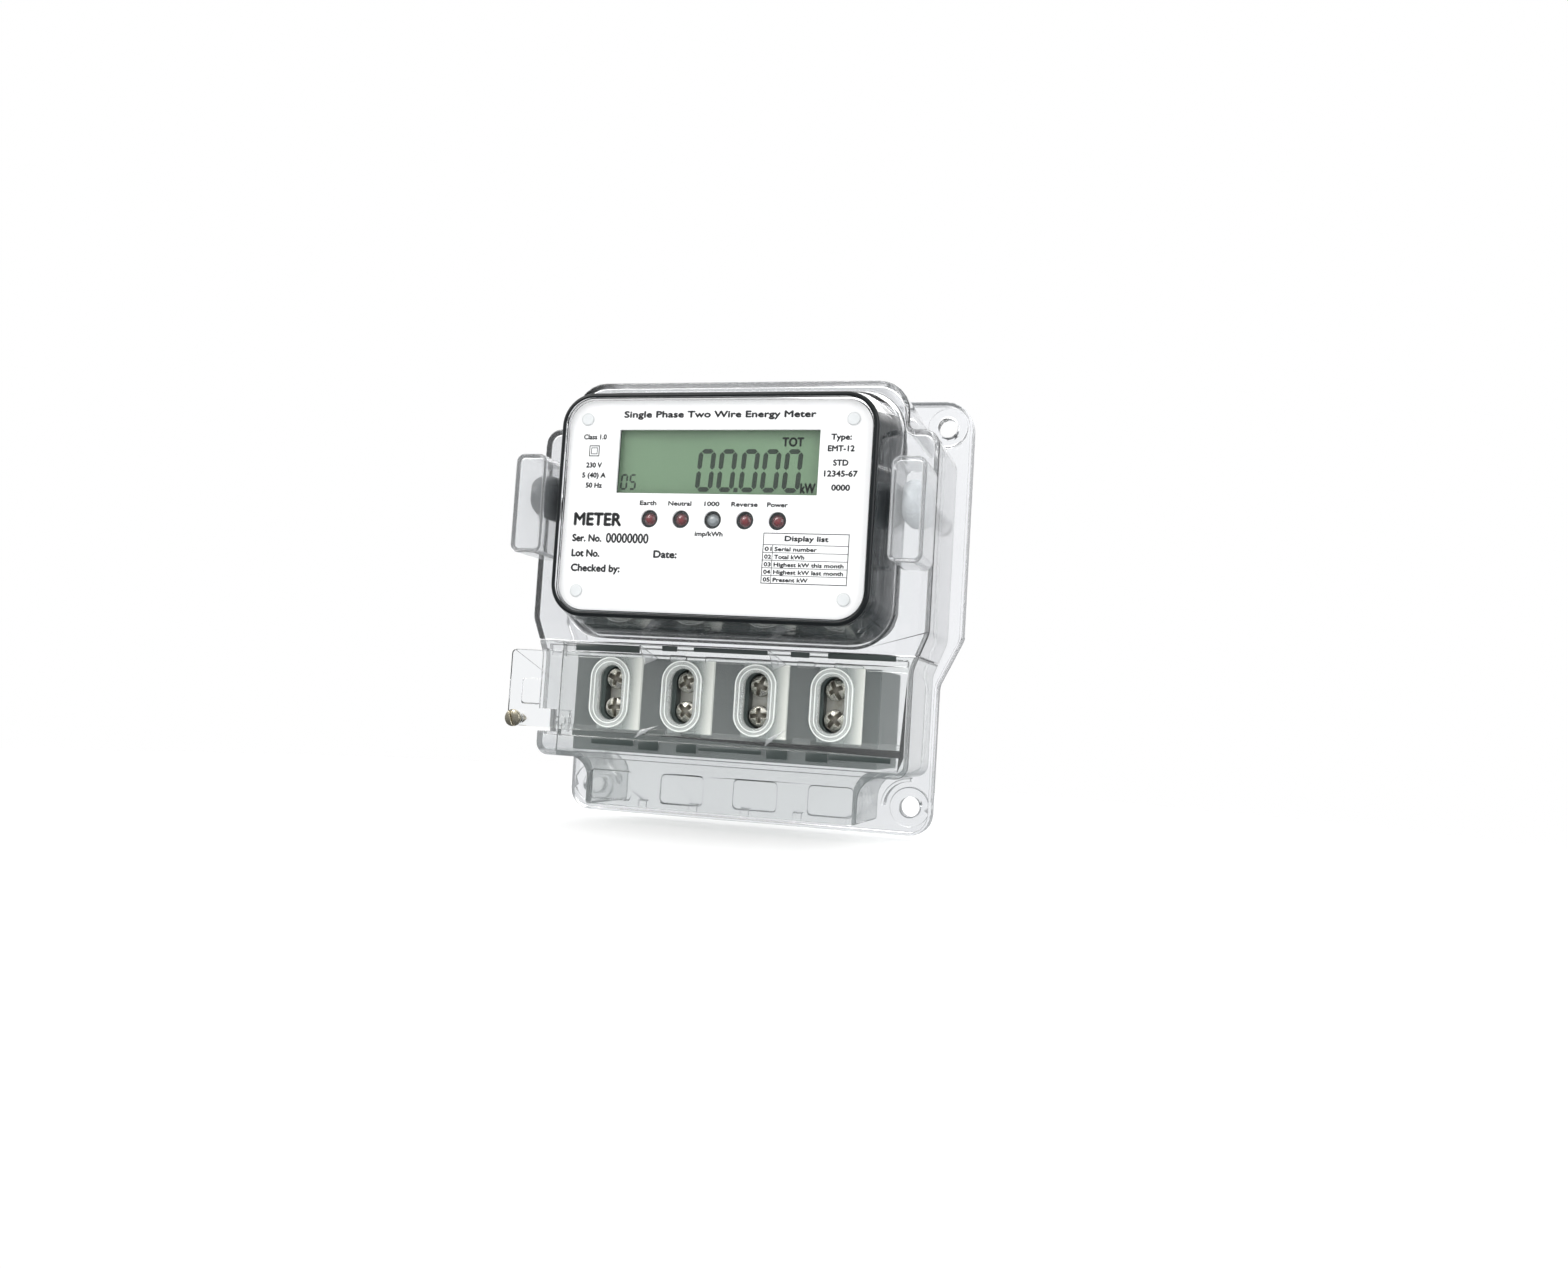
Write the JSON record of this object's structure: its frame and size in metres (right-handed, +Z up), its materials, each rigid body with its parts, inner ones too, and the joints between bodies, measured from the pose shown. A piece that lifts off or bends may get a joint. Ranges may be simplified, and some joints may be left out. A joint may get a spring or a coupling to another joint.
{
  "type": "single-phase electricity meter",
  "caption": "Wall-mounted electricity meter in a clear case: display and lamps over a terminal block with clamp screws and a sliding shutter.",
  "frame": {"origin": "on the wall face of the base plate, at the plate's centre", "axes": "+X to the right of someone reading the meter, +Y back into the wall, +Z up"},
  "size_m": [0.1406, 0.059, 0.14],
  "materials": {
    "clear_case": "clear moulded polycarbonate",
    "clear_shutter": "clear moulded polycarbonate",
    "dark_plastic": "smooth moulded",
    "label_white": "printed sheet",
    "rivet_plastic": "moulded",
    "display_green": "reflective liquid crystal behind glass",
    "contact_rubber": "layered elastomer",
    "red_lamp": "tinted epoxy dome",
    "clear_lamp": "clear epoxy dome",
    "board_green": "solder-resist lacquer on glass-fibre board",
    "black_epoxy": "moulded epoxy",
    "yellow_film": "boxed film capacitor",
    "blue_sleeve": "sleeve or dipped lacquer",
    "battery_green": "shrink sleeve",
    "shunt_alloy": "rolled copper-manganese strip",
    "link_brass": "stamped bar",
    "block_plastic": "moulded glass-filled plastic",
    "plated_brass": "nickel-plated brass",
    "nickel_screw": "nickel-plated steel",
    "plated_steel": "zinc-plated steel",
    "plug_grey": "knurled moulded plug"
  },
  "bodies": {
    "case": {"base_plate": "clear_case", "main_cover": "clear_case", "terminal_cover": "clear_case", "shutter_guide": "clear_case", "inner_frame": "dark_plastic", "label_plate": "label_white", "label_rivets": "rivet_plastic", "lcd_glass": "display_green", "lcd_backplate": "rivet_plastic", "lcd_contact_strips": "contact_rubber", "led_earth": "red_lamp", "led_neutral": "red_lamp", "led_pulse": "clear_lamp", "led_reverse": "red_lamp", "led_power": "red_lamp", "main_board": "board_green", "board_screws": "plated_steel", "metering_chip": "black_epoxy", "microcontroller": "black_epoxy", "crystal": "plated_steel", "film_capacitor": "yellow_film", "smoothing_capacitor": "blue_sleeve", "varistor": "blue_sleeve", "backup_battery": "battery_green", "current_shunt": "shunt_alloy", "neutral_link": "link_brass", "current_transformer": "blue_sleeve", "terminal_block": "block_plastic", "terminal_1": "plated_brass", "terminal_2": "plated_brass", "terminal_3": "plated_brass", "terminal_4": "plated_brass", "cover_screw_left": "plated_steel", "cover_screw_right": "plated_steel", "seal_plug_left": "plug_grey", "seal_plug_right": "plug_grey", "seal_cap_left": "clear_case", "seal_cap_right": "clear_case"},
    "shutter": {"terminal_shutter": "clear_shutter"},
    "seal_screw": {"shutter_seal_screw": "nickel_screw"},
    "clamp_1_upper": {"screw_1_upper": "nickel_screw"},
    "clamp_1_lower": {"screw_1_lower": "nickel_screw"},
    "clamp_2_upper": {"screw_2_upper": "nickel_screw"},
    "clamp_2_lower": {"screw_2_lower": "nickel_screw"},
    "clamp_3_upper": {"screw_3_upper": "nickel_screw"},
    "clamp_3_lower": {"screw_3_lower": "nickel_screw"},
    "clamp_4_upper": {"screw_4_upper": "nickel_screw"},
    "clamp_4_lower": {"screw_4_lower": "nickel_screw"}
  },
  "joints": [
    {"name": "shutter_slide", "type": "slide", "parent": "case", "child": "shutter", "axis": [1, 0, 0], "range_m": [0, 0.0119]},
    {"name": "seal_screw_drive", "type": "slide", "parent": "shutter", "child": "seal_screw", "axis": [0, 1, 0], "range_m": [0, 0.002]},
    {"name": "screw_1_upper_drive", "type": "slide", "parent": "case", "child": "clamp_1_upper", "axis": [0, 1, 0], "range_m": [0, 0.0032]},
    {"name": "screw_1_lower_drive", "type": "slide", "parent": "case", "child": "clamp_1_lower", "axis": [0, 1, 0], "range_m": [0, 0.0032]},
    {"name": "screw_2_upper_drive", "type": "slide", "parent": "case", "child": "clamp_2_upper", "axis": [0, 1, 0], "range_m": [0, 0.0032]},
    {"name": "screw_2_lower_drive", "type": "slide", "parent": "case", "child": "clamp_2_lower", "axis": [0, 1, 0], "range_m": [0, 0.0032]},
    {"name": "screw_3_upper_drive", "type": "slide", "parent": "case", "child": "clamp_3_upper", "axis": [0, 1, 0], "range_m": [0, 0.0032]},
    {"name": "screw_3_lower_drive", "type": "slide", "parent": "case", "child": "clamp_3_lower", "axis": [0, 1, 0], "range_m": [0, 0.0032]},
    {"name": "screw_4_upper_drive", "type": "slide", "parent": "case", "child": "clamp_4_upper", "axis": [0, 1, 0], "range_m": [0, 0.0032]},
    {"name": "screw_4_lower_drive", "type": "slide", "parent": "case", "child": "clamp_4_lower", "axis": [0, 1, 0], "range_m": [0, 0.0032]}
  ]
}
